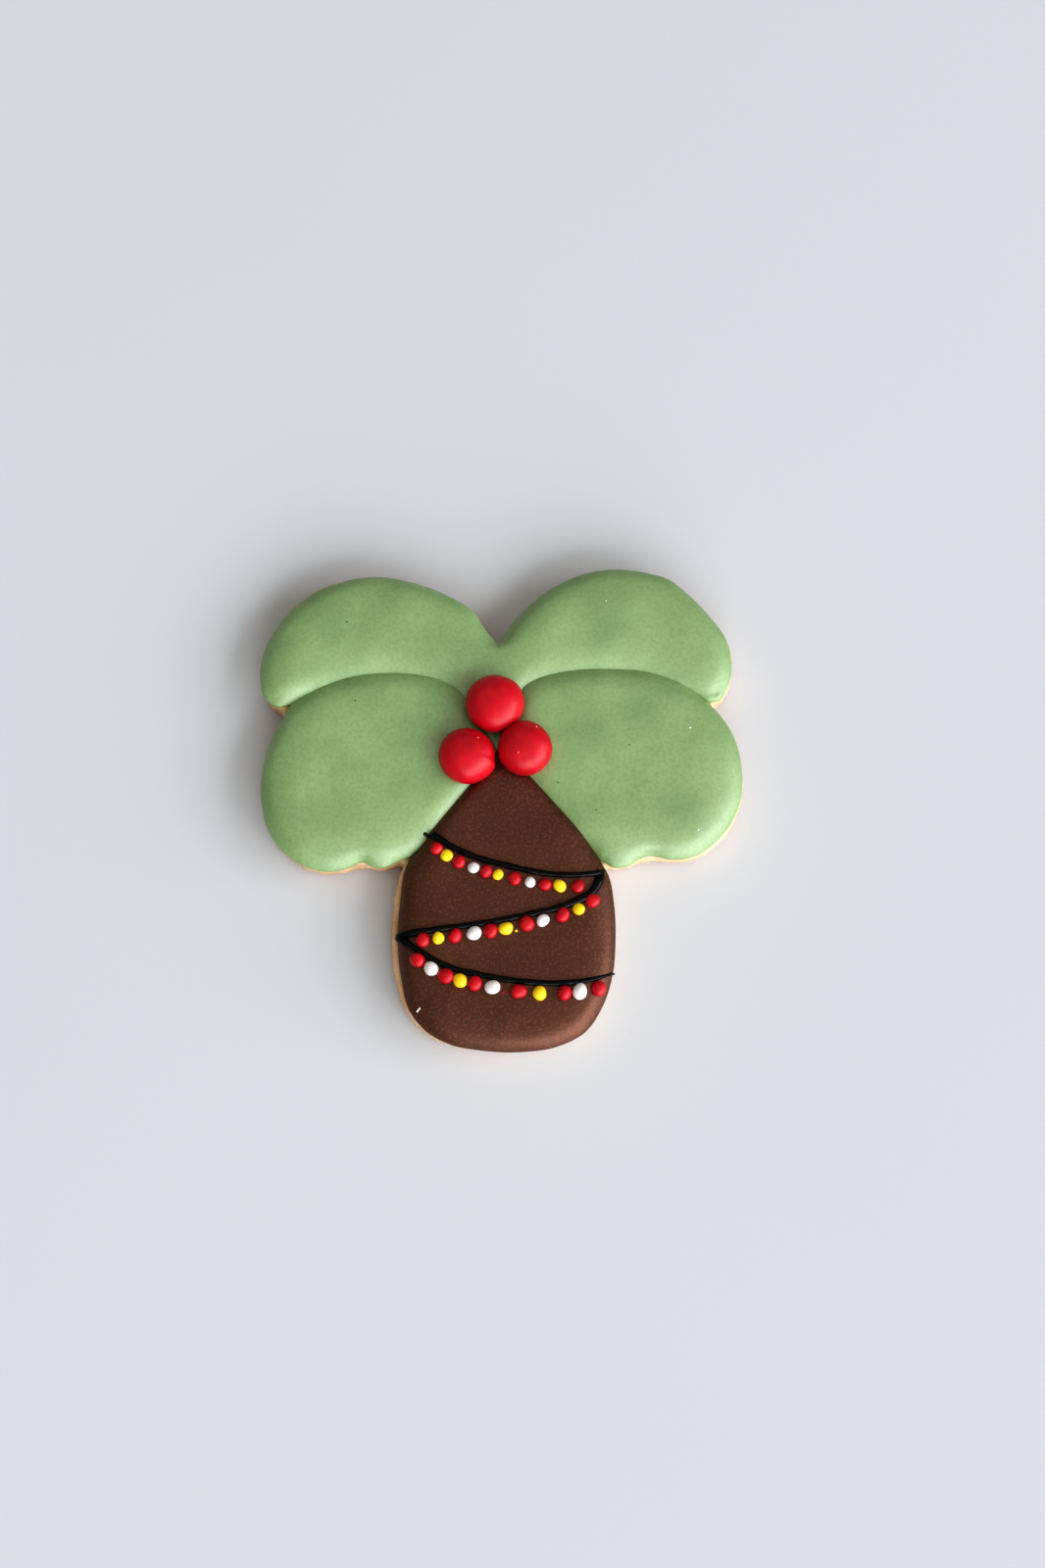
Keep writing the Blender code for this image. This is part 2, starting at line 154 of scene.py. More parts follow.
# The valleys between the areas: the creases run from a tip to the heart, and the seams from a foot to it
LEFT_CREASE = (
    (-34.0, 21.5), (-28.2, 23.7), (-22.2, 24.5), (-15.5, 24.2), (-10.6, 22.8), (-8.0, 21.2), (-5.0, 17.0),
)
RIGHT_CREASE = (
    (33.0, 22.6), (27.0, 24.7), (19.8, 25.3), (12.4, 24.9), (6.6, 23.4), (4.4, 22.1), (1.9, 17.0),
)
LEFT_SEAM = ((-15.0, -8.8), (-12.3, -5.2), (-8.7, -0.7), (-5.0, 3.9))
RIGHT_SEAM = ((16.2, -8.3), (13.2, -4.5), (8.8, 0.6), (4.8, 5.0))

# How far the bare biscuit reaches outside the icing, at even steps along each stretch of the outline
BARE_EDGES = {
    "upper_left": (0.1, -0.3, 0.3, 0.8, 0.4, 0.1, 0.1, -0.8),
    "upper_right": (-0.8, 0.1, 0.1, 0.1, 0.2, 0.4, 0.3, 0.1),
    "lower_right": (0.0, 0.0, 0.1, 0.2, 0.2, 0.2, -0.1, -0.35, -0.5, -0.5, -0.2),
    "trunk": (0.0, -0.3, -0.4, -0.5, -0.7, -0.9, -0.8, -0.2, 0.8, 1.2, 1.1, 1.0),
    "lower_left": (-0.1, -0.4, -0.5, -0.4, -0.3, -0.3, -0.3, -0.2, 0.0),
}

# Smooth curves, soft distances and reliefs. Each relief is a row of (wavelength, height).
FINE_STEPS = 8
KEPT_SHARE = 0.93
SOFT_REACH = 1.6
SOFT_SPAN = 14
SOFT_STEPS = 200
BATCH = 2000
WAVES = 14
WAVE_SPREAD = (0.7, 1.5)
OUTLINE_PITCH = 0.5

# Biscuit: its wall from the rounded under edge up, its relief, where it is browned, and how far painted
# shade darkens its left side
BISCUIT_LOOP_PITCH = 1.8
BISCUIT_LOOP_SMOOTHINGS = 2
BISCUIT_LOOP_OVERLAP = 4
BISCUIT_FINE_PITCH = OUTLINE_PITCH / 4
UNDER_EDGE_WIDTH = 1.1
UNDER_EDGE_STEPS = 10
BISCUIT_BULGE_HEIGHT = 2.6
SIDE_LEAN = 0.1
SIDE_SHARES = (0.25, 0.5, 0.75)
TOP_EDGE_RADIUS = 0.7
TOP_EDGE_STEPS = 7
BISCUIT_GRID_PITCH = 1.1
BISCUIT_GRID_MARGIN = 0.7
CRUMB_RELIEF = ((2.6, 0.07), (0.9, 0.05))
CRUMB_FADE_HEIGHT = 1.0
UNDERSIDE_RELIEF = ((4.0, 0.05), (1.6, 0.05))
BROWN_FOOT_HEIGHT = 2.2
BROWN_FOOT_SHARE = 0.75
PAINTED_SHADE_LEFT_REACH = 15
PAINTED_SHADE_LEFT_SHARE = 0.3

# Icing: its top, its lip over the biscuit as rings of (inset, height), how it meets its neighbours, and
# how wide its rounded edges are. The trunk's own top is below the garland that its solid carries.
TRUNK_TOP = 8.8
ICING_TRIM = 0.15
ICING_DOME = 0.6
ICING_LIP = 0.85
LIP_RINGS = ((-0.06, 0.5), (-0.02, 0.15), (0.16, -0.2), (0.7, -0.5))
SHOULDER_HEIGHT = 1.6
SHOULDER_WIDTH = 2.1
SHOULDER_POWER = 2.0
RIM_ROUNDING = 9.0
CREASE_HEIGHT = 1.9
CREASE_ROUNDING = {"icing_upper_fronds": 9.0, "icing_lower_left": 5.2, "icing_lower_right": 5.2}
SEAM_HEIGHT = 2.2
SEAM_ROUNDING = {"icing_lower_left": 5.0, "icing_lower_right": 5.0, "icing_trunk": 2.8}
ROUNDING_POWER = 3.0
TIP_REACH = 7.0
SADDLE_DEPTH = 0.32
SADDLE_WIDTH = 5.0
SADDLE_LINE = ((-0.7, 31.0), (0.6, 26.0), (-0.6, 22.0))
ICING_RELIEF = ((16.0, 0.06), (7.0, 0.02))
SETTLING = 2.0
EDGE_RINGS = (0.06, 0.18, 0.4, 0.7, 1.1, 1.6, 2.2, 2.9, 3.7)
GRID_PITCH = 0.9
RAY_HEIGHT = 100

# The height and the rounding of each valley
VALLEYS = {
    "left_crease": (CREASE_HEIGHT, CREASE_ROUNDING),
    "right_crease": (CREASE_HEIGHT, CREASE_ROUNDING),
    "left_seam": (SEAM_HEIGHT, SEAM_ROUNDING),
    "right_seam": (SEAM_HEIGHT, SEAM_ROUNDING),
}

# The lines round each area, clockwise, with -1 for a line that is followed backwards
AREAS = {
    "icing_upper_fronds": (("upper_left", 1), ("upper_right", 1), ("right_crease", 1), ("left_crease", -1)),
    "icing_lower_right": (("lower_right", 1), ("right_seam", 1), ("right_crease", -1)),
    "icing_trunk": (("trunk", 1), ("left_seam", 1), ("right_seam", -1)),
    "icing_lower_left": (("lower_left", 1), ("left_crease", 1), ("left_seam", -1)),
}

# The green pieces and the solids they stand for
FRONDS = {
    "upper_fronds": "icing_upper_fronds",
    "lower_left_frond": "icing_lower_left",
    "lower_right_frond": "icing_lower_right",
}

# Berries: each one's centre and radius, and what they share. One was pulled to a corner, here at its angle
# in degrees, with the angles before and after it over which the outline rises.
BERRIES = {
    "berry_top": ((-1.2, 17.6), 5.4),
    "berry_left": ((-6.3, 7.7), 5.1),
    "berry_right": ((4.3, 9.1), 5.0),
}
BERRY_WIDEST_HEIGHT = 2.3
BERRY_FOOT_SHARE = 0.84
BERRY_FOOT_STEPS = 12
BERRY_DOME_STEPS = 26
BERRY_DOME_END_DEGREES = 88
BERRY_SINK = 0.35
BERRY_SIDES = 72
BERRY_GAP = 0.12
BERRY_RELIEF = ((6.0, 0.05), (2.2, 0.015))
BERRY_FIRST_SEED = 21
PULLED_CORNER = {"berry_left": -23}
PULLED_RISE = 0.6
PULLED_REACH = (40, 14)

# Garland: each strand's piped line, the thickness along it, the x of each pearl under it with R for red,
# Y for yellow and W for white, how far below the line the pearls lie, and their radius
STRANDS = (
    {
        "line": (
            (-12.6, -6.2), (-11.7, -7.1), (-9.8, -8.4), (-5.2, -10.6), (0.7, -12.3), (7.7, -13.8),
            (13.8, -14.1), (18.4, -13.5),
        ),
        "radii": (0.75, 0.6, 0.56, 0.56, 0.56, 0.54, 0.5, 0.6),
        "pearls": (-11.7, -9.8, -7.6, -5.0, -2.8, -0.6, 2.4, 5.1, 7.9, 10.5, 13.8),
        "colours": "RYRWRYRWRYR",
        "drop": 2.15,
        "radius": 1.17,
    },
    {
        "line": (
            (18.4, -13.5), (16.4, -17.2), (12.1, -19.5), (5.4, -21.3), (-2.0, -22.8), (-9.0, -23.8),
            (-15.3, -24.6), (-18.7, -25.1),
        ),
        "radii": (0.8, 0.8, 0.62, 0.58, 0.56, 0.56, 0.6, 0.8),
        "pearls": (16.5, 13.9, 11.0, 7.5, 4.6, 0.9, -1.9, -4.8, -8.2, -11.2, -13.9),
        "colours": "RYRWRYRWRYR",
        "drop": 1.65,
        "radius": 1.3,
    },
    {
        "line": (
            (-18.7, -25.1), (-14.7, -28.0), (-9.8, -30.7), (-2.8, -32.5), (4.2, -33.6), (11.2, -33.8),
            (17.3, -32.8), (20.5, -31.5),
        ),
        "radii": (0.8, 0.58, 0.56, 0.56, 0.56, 0.54, 0.48, 0.2),
        "pearls": (-14.9, -12.3, -9.8, -7.3, -4.6, -1.5, 3.2, 6.9, 11.3, 14.0, 17.4),
        "colours": "RWRYRWRYRWR",
        "drop": 1.85,
        "radius": 1.4,
    },
)
STRAND_PITCH = 0.3
STRAND_SIDES = 16
STRAND_RISE = 0.1
STRAND_RELIEF = ((4.0, 0.05),)
THINNEST_END = 0.02

# Pearls, with how high each is for its width, and what every small blob of sugar shares with them
PEARL_COLOURS = {"R": "red", "Y": "yellow", "W": "white"}
PEARL_SIZE = {"red": 1.0, "yellow": 0.89, "white": 0.93}
PEARL_SIZE_SPREAD = (0.93, 1.05)
PEARL_SQUASH = (0.66, 0.78)
PEARL_RISE = 0.3
PEARL_SEGMENTS = 20
FLECK_SEGMENTS = 12
BLOB_UNEVENNESS = 0.12
BLOB_WAVELENGTH = 2.2
BLOB_SEEDS = 1 << 30

# Small marks: place and radius of each fleck, and the anchors of each stroke
BERRY_SPECKS = {"berry_left": ((2.1, 2.6),), "berry_right": ((2.1, 3.4), (-1.2, -1.7))}
BERRY_SPECK_RADIUS = 0.14
BERRY_SPECK_SQUASH = 0.5
WHITE_SPECKS = (((34.6, 13.6), 0.18), ((35.7, -5.6), 0.22), ((19.4, 38.2), 0.15))
# Small pits in the icing, each drawn as a flat dark fleck of painted shade: a place and a radius
PAINTED_PIT_SHADES = (
    ((10.3, 3.2), 0.16), ((-28.8, 34.0), 0.16), ((17.2, -2.0), 0.14), ((23.4, 10.3), 0.14),
    ((-26.9, 18.7), 0.14),
)
YELLOW_CRUMB = ((2.75, -24.35), 0.26)
RED_DUST_LINE = ((-1.0, -34.7), (1.2, -35.8))
RED_DUST_COUNT = 9
RED_DUST_SCATTER = 0.2
RED_DUST_RADIUS = (0.08, 0.18)
WHITE_TICK = ((-15.0, -38.8), (-14.6, -38.3), (-14.3, -38.0))
BLACK_SMEARS = (
    ((-14.1, -6.1), (-13.3, -6.6), (-12.2, -6.9)),
    ((17.3, -13.0), (18.0, -13.2), (18.8, -12.9)),
)
STROKE_RADIUS = {"white": 0.16, "black": 0.34}
STROKE_PITCH = STRAND_PITCH / 3

# Soft darker patches in the green, each a place and a radius. Most are the icing's uneven colour; the two
# small ones at the left tip and at the left foot are painted shade, in the end of the crease and in the
# notch there.
MOTTLES_AND_PAINTED_SHADE = (
    ((25.7, 17.8), 4.0), ((17.3, 12.1), 3.2), ((32.4, -1.2), 3.6), ((-31.3, 33.2), 4.0), ((19.7, 33.2), 4.5),
    ((32.3, 21.7), 3.5), ((-37.9, 18.4), 1.3), ((-16.4, -10.0), 1.2),
)
MOTTLE_AND_SHADE_STRENGTH = 0.5


# Lines and distances


def evenly(curve, pitch):
    """Points at an even spacing close to pitch along a polyline, both ends included."""
    places = np.concatenate([[0], np.cumsum(np.linalg.norm(np.diff(curve, axis=0), axis=1))])
    count = max(2, round(places[-1] / pitch) + 1)
    wanted = np.linspace(0, places[-1], count)
    return np.stack([np.interp(wanted, places, axis) for axis in curve.T], axis=1)


def spread(values, count):
    """The values, at even steps, filled in to count of them."""
    return np.interp(np.linspace(0, len(values) - 1, count), range(len(values)), values)


def smooth_line(anchors, pitch):
    """Evenly spaced points on a smooth curve through the anchors, with the slopes of a parabola at each."""
    anchors = np.asarray(anchors, float)
    spans = np.linalg.norm(np.diff(anchors, axis=0), axis=1)
    places = np.concatenate([[0], np.cumsum(spans)])
    slopes = np.gradient(anchors, places, axis=0)
    fine = np.arange(0, places[-1], pitch / FINE_STEPS)
    index = np.clip(np.searchsorted(places, fine, side="right") - 1, 0, len(spans) - 1)
    span = spans[index][:, None]
    t = (fine - places[index])[:, None] / span
    curve = (2 * t**3 - 3 * t**2 + 1) * anchors[index] + (3 * t**2 - 2 * t**3) * anchors[index + 1]
    curve += span * ((t**3 - 2 * t**2 + t) * slopes[index] + (t**3 - t**2) * slopes[index + 1])
    return evenly(np.vstack([curve, anchors[-1:]]), pitch)


def closed_loop(*stretches):
    """One closed outline, each stretch starting where the last one ends."""
    return np.concatenate([points[:-1] for points in stretches])


def ring(loop):
    """The loop as a line that comes back to its first point."""
    return np.vstack([loop, loop[:1]])


def outward(loop):
    """Unit normals out of a clockwise loop."""
    along = np.roll(loop, -1, axis=0) - np.roll(loop, 1, axis=0)
    normals = np.stack([-along[:, 1], along[:, 0]], axis=1)
    return normals / np.linalg.norm(normals, axis=1, keepdims=True)


def arc(start_degrees, end_degrees, steps):
    """The cosine and sine at even steps from one angle to another."""
    angles = np.radians(np.linspace(start_degrees, end_degrees, steps))
    return list(zip(np.cos(angles), np.sin(angles)))


def circle(sides):
    """Points round a circle of radius 1."""
    return np.array(arc(0, 360, sides + 1)[:-1])


def smooth_step(share):
    """0 to 1, easing off at both ends."""
    share = np.clip(share, 0, 1)
    return share * share * (3 - 2 * share)


def sloped(distance, width, power):
    """0 at a valley, 1 from width on, with a slope between them that eases off."""
    return 1 - (1 - np.clip(distance / width, 0, 1)) ** power


def batches(points):
    """The points in runs short enough to set against every point of a line at once."""
    points = np.asarray(points, float)
    return np.array_split(points, len(points) // BATCH + 1)


def distance_to(points, line):
    """The distance from each point to the nearest place on a line."""
    start, along = line[:-1], np.diff(line, axis=0)
    nearest = []
    for batch in batches(points):
        offset = batch[:, None] - start
        share = np.clip((offset * along).sum(2) / (along**2).sum(1), 0, 1)
        nearest.append(np.linalg.norm(offset - share[..., None] * along, axis=2).min(1))
    return np.concatenate(nearest)


def feel_edge(points, loop, values):
    """How far each point is from a loop, as a thick liquid feels it, and what the loop's values are there.

    Every point of the loop pulls, less with distance, so corners and small dents even out. The pull is
    turned into how far away a straight line would pull as much, and it also weighs the values. Right beside
    the loop both are plain: the true distance and the nearest point's values.
    """
    beside = np.arange(-SOFT_SPAN, SOFT_SPAN, OUTLINE_PITCH)
    steps = np.linspace(0, SOFT_SPAN, SOFT_STEPS)
    straight = np.exp(-np.hypot(beside, steps[:, None]) / SOFT_REACH).sum(1)
    soft, means, nearest = [], [], []
    for batch in batches(points):
        away = np.linalg.norm(batch[:, None] - loop, axis=2)
        pulls = np.exp(-away / SOFT_REACH)
        total = pulls.sum(1)
        soft.append(np.interp(-np.log(total), -np.log(straight), steps))
        means.append(pulls @ values / total[:, None])
        nearest.append(values[away.argmin(1)])
    plain = distance_to(points, ring(loop))
    share = smooth_step(plain / SOFT_REACH)
    distance = plain + share * (np.concatenate(soft) - plain)
    nearest = np.concatenate(nearest)
    return distance, (nearest + share[:, None] * (np.concatenate(means) - nearest)).T


def inside(points, loop):
    """Whether each point is inside the loop, by counting the sides that a ray along +X crosses."""
    x, y = np.asarray(points, float)[:, None].transpose(2, 0, 1)
    (x0, y0), (x1, y1) = loop.T[:, None], np.roll(loop, -1, axis=0).T[:, None]
    spans_ray = (y0 > y) != (y1 > y)
    rise = np.where(y1 == y0, 1.0, y1 - y0)
    return (spans_ray & (x < x0 + (y - y0) * (x1 - x0) / rise)).sum(1) % 2 == 1


def moved(loop, distance):
    """The loop moved outward, without the points that a corner leaves well short of the distance."""
    result = loop + outward(loop) * np.reshape(distance, (-1, 1))
    return result[distance_to(result, ring(loop)) >= KEPT_SHARE * np.abs(distance)]


def ripples(points, relief, seed):
    """A smooth random relief: for each (wavelength, height), waves that run in random directions."""
    points = np.asarray(points, float)
    draw = np.random.default_rng(seed)
    total = np.zeros(len(points))
    for wavelength, height in relief:
        directions = draw.normal(size=(WAVES, points.shape[1]))
        directions /= np.linalg.norm(directions, axis=1, keepdims=True)
        turns = 2 * np.pi * directions / (wavelength * draw.uniform(*WAVE_SPREAD, (WAVES, 1)))
        phases = draw.uniform(0, 2 * np.pi, WAVES)
        total += height * np.cos(points @ turns.T + phases).sum(1) / math.sqrt(WAVES / 2)
    return total


# Meshes


def level(loop, z):
    """Flat points at one height, or at a height each."""
    return np.column_stack([loop, np.broadcast_to(z, len(loop))])


def band(lower, upper, count):
    """The faces between two rings of count points that start at these two indices."""
    return [
        (lower + here, lower + (here + 1) % count, upper + (here + 1) % count, upper + here)
        for here in range(count)
    ]


def wall(ring_count, sides):
    """The faces of a stack of rings, each of them starting where the one below it ends."""
    faces = []
    for lower in range(0, (ring_count - 1) * sides, sides):
        faces += band(lower, lower + sides, sides)
    return faces


def filled(loop, inner):
    """Triangles over the loop and the points inside it, as (places, faces)."""
    flat = [Vector(point) for point in np.concatenate([loop, inner])]
    sides = [(here, (here + 1) % len(loop)) for here in range(len(loop))]
    inside_only, smallest_gap = 1, 1e-5
    corners, _, triangles, *_ = delaunay_2d_cdt(flat, sides, [], inside_only, smallest_gap)
    return np.array([tuple(corner) for corner in corners]), triangles


def grid_inside(loop, pitch, margin):
    """A grid of staggered rows over the loop, no nearer to it than margin."""
    low, high = loop.min(0), loop.max(0)
    grid = np.stack(np.meshgrid(*(np.arange(a, b, pitch) for a, b in zip(low, high))), axis=2)
    grid[1::2, :, 0] += pitch / 2
    grid = grid.reshape(-1, 2)
    grid = grid[inside(grid, loop)]
    return grid[distance_to(grid, ring(loop)) > margin]


def mesh_object(name, points, faces, material, attributes=None):
    """A smooth object from points in millimetres, with its faces turned outward."""
    mesh = bpy.data.meshes.new(name)
    mesh.from_pydata([Vector(point) * MM for point in points], [], faces)
    for label, values in (attributes or {}).items():
        mesh.attributes.new(label, "FLOAT", "POINT").data.foreach_set("value", values)
    model = bmesh.new()
    model.from_mesh(mesh)
    bmesh.ops.recalc_face_normals(model, faces=model.faces)
    model.to_mesh(mesh)
    model.free()
    mesh.materials.append(material)
    mesh.shade_smooth()
    piece = bpy.data.objects.new(name, mesh)
    bpy.context.scene.collection.objects.link(piece)
    return piece


def dress(piece, slot, *nodes):
    """Ties a finished piece to the frame: its body and the solids it stands for. The slot it is given is not
    used.
    """
    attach(piece, "root")
    if nodes:
        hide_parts(*nodes)


# Materials


def linear(colour):
    """Linear red, green, blue and alpha of a screen colour, by the usual curve of screens."""
    shares = [channel / 255 for channel in colour]
    return (*(s / 12.92 if s <= 0.04045 else ((s + 0.055) / 1.055) ** 2.4 for s in shares), 1.0)


def add(tree, kind, inputs=None, **settings):
    """A shader node with its settings, and its inputs as values or as links from other sockets."""
    made = tree.nodes.new(kind)
    for name, value in settings.items():
        setattr(made, name, value)
    for name, value in (inputs or {}).items():
        if isinstance(value, bpy.types.NodeSocket):
            tree.links.new(value, made.inputs[name])
        else:
            made.inputs[name].default_value = value
    return made


def noise(tree, size, detail=2.0):
    """Noise with features about this many millimetres wide."""
    place = add(tree, "ShaderNodeTexCoord").outputs["Object"]
    settings = {"Vector": place, "Scale": 1 / (size * MM), "Detail": detail}
    return add(tree, "ShaderNodeTexNoise", settings).outputs["Fac"]


def clouds(tree, size, low, high, detail=3.0):
    """Noise made clearer: 0 where it is below low, 1 above high and a smooth step between them."""
    inputs = {"Value": noise(tree, size, detail), "From Min": low, "From Max": high}
    return add(tree, "ShaderNodeMapRange", inputs, interpolation_type="SMOOTHSTEP").outputs["Result"]


def blend(tree, share, first, second):
    """A colour between two, each a socket or a screen colour.

    The node's sockets share their names, so the ones for colours are told by number.
    """
    mixer = add(tree, "ShaderNodeMix", {"Factor": share}, data_type="RGBA")
    first_colour, second_colour, mixed = mixer.inputs[6], mixer.inputs[7], mixer.outputs[2]
    for colour, socket in ((first, first_colour), (second, second_colour)):
        if isinstance(colour, bpy.types.NodeSocket):
            tree.links.new(colour, socket)
        else:
            socket.default_value = linear(colour)
    return mixed


def attribute(tree, name):
    """A value that the mesh holds for each of its points."""
    return add(tree, "ShaderNodeAttribute", attribute_name=name).outputs["Fac"]


def bump(tree, height, depth, below=None):
    """A bumped normal, this many millimetres deep, over another one if given."""
    inputs = {"Height": height, "Distance": depth * MM}
    if below:
        inputs["Normal"] = below
    return add(tree, "ShaderNodeBump", inputs).outputs["Normal"]


def new_material(name, roughness, specular=0.5):
    """A material with its node tree and its shader."""
    material = bpy.data.materials.new(name)
    material.use_nodes = True
    shader = material.node_tree.nodes["Principled BSDF"]
    shader.inputs["Roughness"].default_value = roughness
    shader.inputs["Specular IOR Level"].default_value = specular
    return material, material.node_tree, shader


def connect(tree, shader, colour, normal):
    """The colour and the normal, joined to the shader."""
    tree.links.new(colour, shader.inputs["Base Color"])
    tree.links.new(normal, shader.inputs["Normal"])


def soften(shader, weight, radius_shares, depth):
    """Light that soaks a little way into sugar or dough."""
    shader.inputs["Subsurface Weight"].default_value = weight
    shader.inputs["Subsurface Radius"].default_value = radius_shares
    shader.inputs["Subsurface Scale"].default_value = depth * MM


def green_icing():
    """Dried flooded icing: mottled, faintly patchy, with a fine dark grain and a broad sheen. Two of the
    patches are painted shade.
    """
    material, tree, shader = new_material("green_icing_look", roughness=0.56, specular=1.0)
    shader.inputs["IOR"].default_value = ICING_IOR
    colour = blend(tree, clouds(tree, size=9.0, low=0.35, high=0.65), *GREEN_ICING)
    # Darker patches, two of them painted shade in a crease end and a notch
    colour = blend(tree, attribute(tree, "mottle_and_shade"), colour, GREEN_MOTTLE_AND_SHADE)
    grainy = blend(tree, share=0.25, first=colour, second=GREEN_GRAIN)
    colour = blend(tree, clouds(tree, size=0.6, low=0.35, high=0.6), grainy, colour)
    speckled = blend(tree, share=0.25, first=colour, second=GREEN_SPECKLE)
    colour = blend(tree, clouds(tree, size=0.9, low=0.62, high=0.8), colour, speckled)
    fine = bump(tree, noise(tree, size=0.4, detail=3.0), depth=0.03)
    connect(tree, shader, colour, bump(tree, noise(tree, size=4.0), depth=0.05, below=fine))
    soften(shader, weight=0.12, radius_shares=(0.6, 1.0, 0.4), depth=1.0)
    return material


def brown_icing():
    """The same icing in brown, with a fine light grain."""
    material, tree, shader = new_material("brown_icing_look", roughness=0.5, specular=0.8)
    shader.inputs["IOR"].default_value = ICING_IOR
    shader.inputs["Specular Tint"].default_value = linear(BROWN_SHEEN)
    colour = blend(tree, clouds(tree, size=7.0, low=0.35, high=0.65), *BROWN_ICING)
    grainy = blend(tree, share=0.4, first=colour, second=BROWN_GRAIN)
    colour = blend(tree, clouds(tree, size=0.45, low=0.48, high=0.68), colour, grainy)
    fine = bump(tree, noise(tree, size=0.4, detail=3.0), depth=0.04)
    connect(tree, shader, colour, bump(tree, noise(tree, size=3.5), depth=0.04, below=fine))
    return material


def black_icing():
    """Piped icing, still a little glossy."""
    material, tree, shader = new_material("black_icing_look", roughness=0.3, specular=0.3)
    colour = blend(tree, clouds(tree, size=1.5, low=0.4, high=0.7, detail=2.0), *BLACK_ICING)
    connect(tree, shader, colour, bump(tree, noise(tree, size=0.7), depth=0.03))
    return material


def sugar(name, colours, roughness, soak, sheen=WHITE, ior=SUGAR_IOR):
    """Dried piped sugar: almost one colour, faintly uneven, with a soft gloss."""
    material, tree, shader = new_material(name, roughness, specular=0.45)
    shader.inputs["IOR"].default_value = ior
    shader.inputs["Specular Tint"].default_value = linear(sheen)
    colour = blend(tree, clouds(tree, size=2.5, low=0.3, high=0.7, detail=2.0), *colours)
    connect(tree, shader, colour, bump(tree, noise(tree, size=0.5, detail=3.0), depth=0.012))
    soften(shader, weight=0.15, radius_shares=soak, depth=0.8)
    return material


def biscuit_crumb():
    """Baked dough, with crumbs in its surface, browned and darkened with painted shade at the left where the
    mesh says.
    """
    material, tree, shader = new_material("biscuit_look", roughness=0.8, specular=0.25)
    colour = blend(tree, clouds(tree, size=5.0, low=0.4, high=0.7), *DOUGH)
    colour = blend(tree, attribute(tree, "browning_and_shade"), colour, BROWNED_AND_SHADED_DOUGH)
    crumbly = blend(tree, share=0.25, first=colour, second=DOUGH_CRUMB)
    colour = blend(tree, clouds(tree, size=0.5, low=0.35, high=0.7), colour, crumbly)
    fine = bump(tree, noise(tree, size=0.35, detail=4.0), depth=0.08)
    connect(tree, shader, colour, bump(tree, noise(tree, size=1.6, detail=3.0), depth=0.15, below=fine))
    soften(shader, weight=0.1, radius_shares=(1.0, 0.6, 0.3), depth=0.8)
    return material


def plain(name, colour, roughness):
    """A small fleck's material, with a faint grain."""
    material, tree, shader = new_material(name, roughness)
    shaded = blend(tree, share=0.2, first=colour, second=FLECK_GRAIN)
    colour = blend(tree, clouds(tree, size=0.3, low=0.3, high=0.7, detail=2.0), colour, shaded)
    connect(tree, shader, colour, bump(tree, noise(tree, size=0.3), depth=0.02))
    return material


def make_materials():
    """Every material of the cookie, by a short name."""
    return {
        "dough": biscuit_crumb(),
        "green": green_icing(),
        "brown": brown_icing(),
        "black": black_icing(),
        "berry": sugar(
            "berry_look", BERRY_RED, roughness=0.42, soak=RED_SOAK, sheen=BERRY_SHEEN, ior=BERRY_IOR
        ),
        "berry_speck": plain("berry_speck_look", BERRY_FLECK, roughness=0.4),
        "red": sugar("red_look", PEARL_RED, roughness=0.42, soak=RED_SOAK),
        "yellow": sugar("yellow_look", PEARL_YELLOW, roughness=0.45, soak=YELLOW_SOAK),
        "white": sugar("white_look", PEARL_WHITE, roughness=0.4, soak=WHITE_SOAK),
        # Painted shade for the small pits
        "pit_shade": plain("pit_shade_look", PIT_SHADE_GREEN, roughness=0.7),
    }


# The biscuit


def outline_stretches(pitch):
    """The five stretches of the outline, clockwise."""
    return {
        "upper_left": smooth_line((LEFT_TIP, *UPPER_LEFT_RIM, CROWN), pitch),
        "upper_right": smooth_line((CROWN, *UPPER_RIGHT_RIM, RIGHT_TIP), pitch),
        "lower_right": smooth_line((RIGHT_TIP, *LOWER_RIGHT_RIM, RIGHT_FOOT), pitch),
        "trunk": smooth_line((RIGHT_FOOT, *TRUNK_RIM, LEFT_FOOT), pitch),
        "lower_left": smooth_line((LEFT_FOOT, *LOWER_LEFT_RIM, LEFT_TIP), pitch),
    }


def inner_lines(pitch):
    """The four lines between the areas, each from the outline to the heart."""
    return {
        "left_crease": smooth_line((LEFT_TIP, *LEFT_CREASE, HEART), pitch),
        "right_crease": smooth_line((RIGHT_TIP, *RIGHT_CREASE, HEART), pitch),
        "left_seam": smooth_line((LEFT_FOOT, *LEFT_SEAM, HEART), pitch),
        "right_seam": smooth_line((RIGHT_FOOT, *RIGHT_SEAM, HEART), pitch),
    }


def biscuit_loop():
    """The icing's outline with the bare edge added, its corners rounded as baking rounds them.

    The curve is drawn a little past both ends and cut at its first point, so it closes smoothly.
    """
    rim = outline_stretches(BISCUIT_LOOP_PITCH)
    margins = [spread(BARE_EDGES[name], len(points)) for name, points in rim.items()]
    loop = moved(closed_loop(*rim.values()), closed_loop(*margins))
    for _ in range(BISCUIT_LOOP_SMOOTHINGS):
        loop = (np.roll(loop, 1, axis=0) + 2 * loop + np.roll(loop, -1, axis=0)) / 4
    overlap = BISCUIT_LOOP_OVERLAP
    turned = np.concatenate([loop[-overlap:], loop, loop[: overlap + 1]])
    fine = smooth_line(turned, BISCUIT_FINE_PITCH)
    from_start = np.linalg.norm(fine - loop[0], axis=1)
    quarter = len(fine) // 4
    start = from_start[:quarter].argmin()
    end = 3 * quarter + from_start[3 * quarter :].argmin()
    return evenly(fine[start : end + 1], OUTLINE_PITCH)[:-1]


